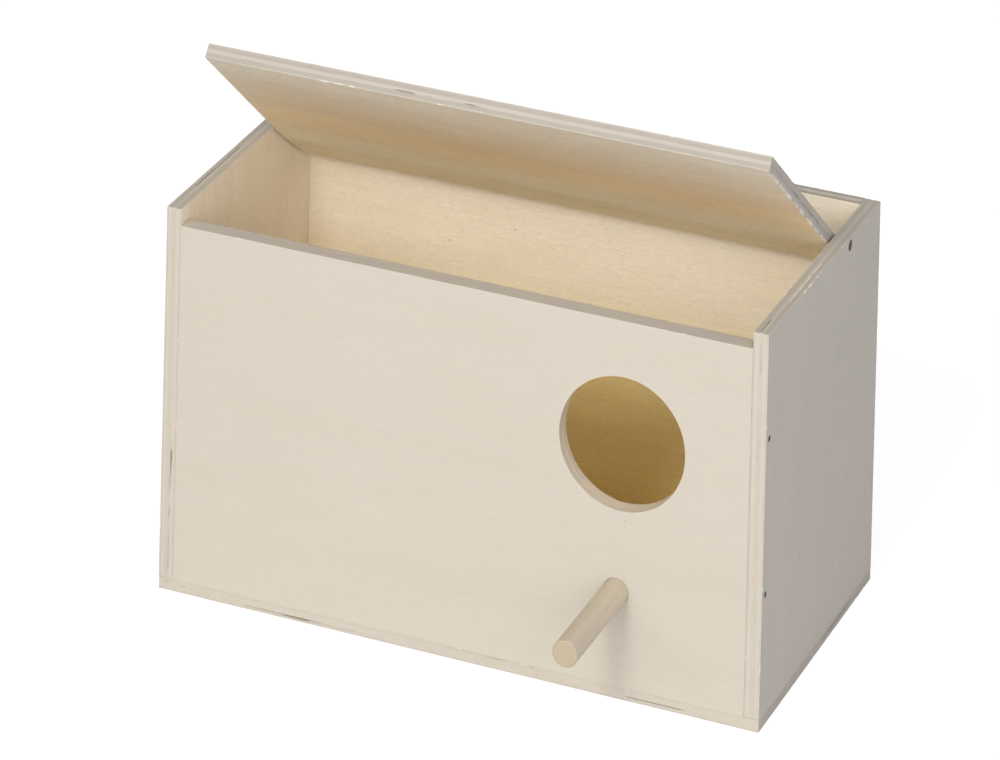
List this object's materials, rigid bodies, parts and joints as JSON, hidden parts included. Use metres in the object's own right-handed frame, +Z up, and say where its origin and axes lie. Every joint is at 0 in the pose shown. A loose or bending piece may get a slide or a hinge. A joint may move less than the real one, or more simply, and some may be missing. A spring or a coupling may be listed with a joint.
{
  "type": "nesting box",
  "caption": "Plywood nesting box for small cage birds: closed box with a round entry hole off to one side, a dowel perch below it and a lid that turns on nails between the side panels.",
  "frame": {"origin": "centre of the floor's underside", "axes": "+X along the box to the end with the entry hole, -Y out of the front, +Y out of the back, +Z up"},
  "size_m": [0.245, 0.175, 0.2055],
  "materials": {
    "plywood": "unfinished pale plywood, sanded faces and sawn edges",
    "lid_plywood": "unfinished pale plywood, a little warmer, sanded faces and sawn edges",
    "dowel": "unfinished turned dowel",
    "steel": "dull bare steel nail"
  },
  "bodies": {
    "box": {"floor_panel": "plywood", "left_side": "plywood", "right_side": "plywood", "front_panel": "plywood", "back_panel": "plywood", "perch": "dowel", "left_pivot_nail": "steel", "right_pivot_nail": "steel", "front_brads": "steel", "floor_brads": "steel"},
    "lid": {"lid": "lid_plywood"}
  },
  "joints": [
    {"name": "lid_hinge", "type": "hinge", "parent": "box", "child": "lid", "pos_m": [0, 0.0275, 0.14475], "axis": [-1, 0, 0], "range_deg": [-38.8, 128.7]}
  ]
}
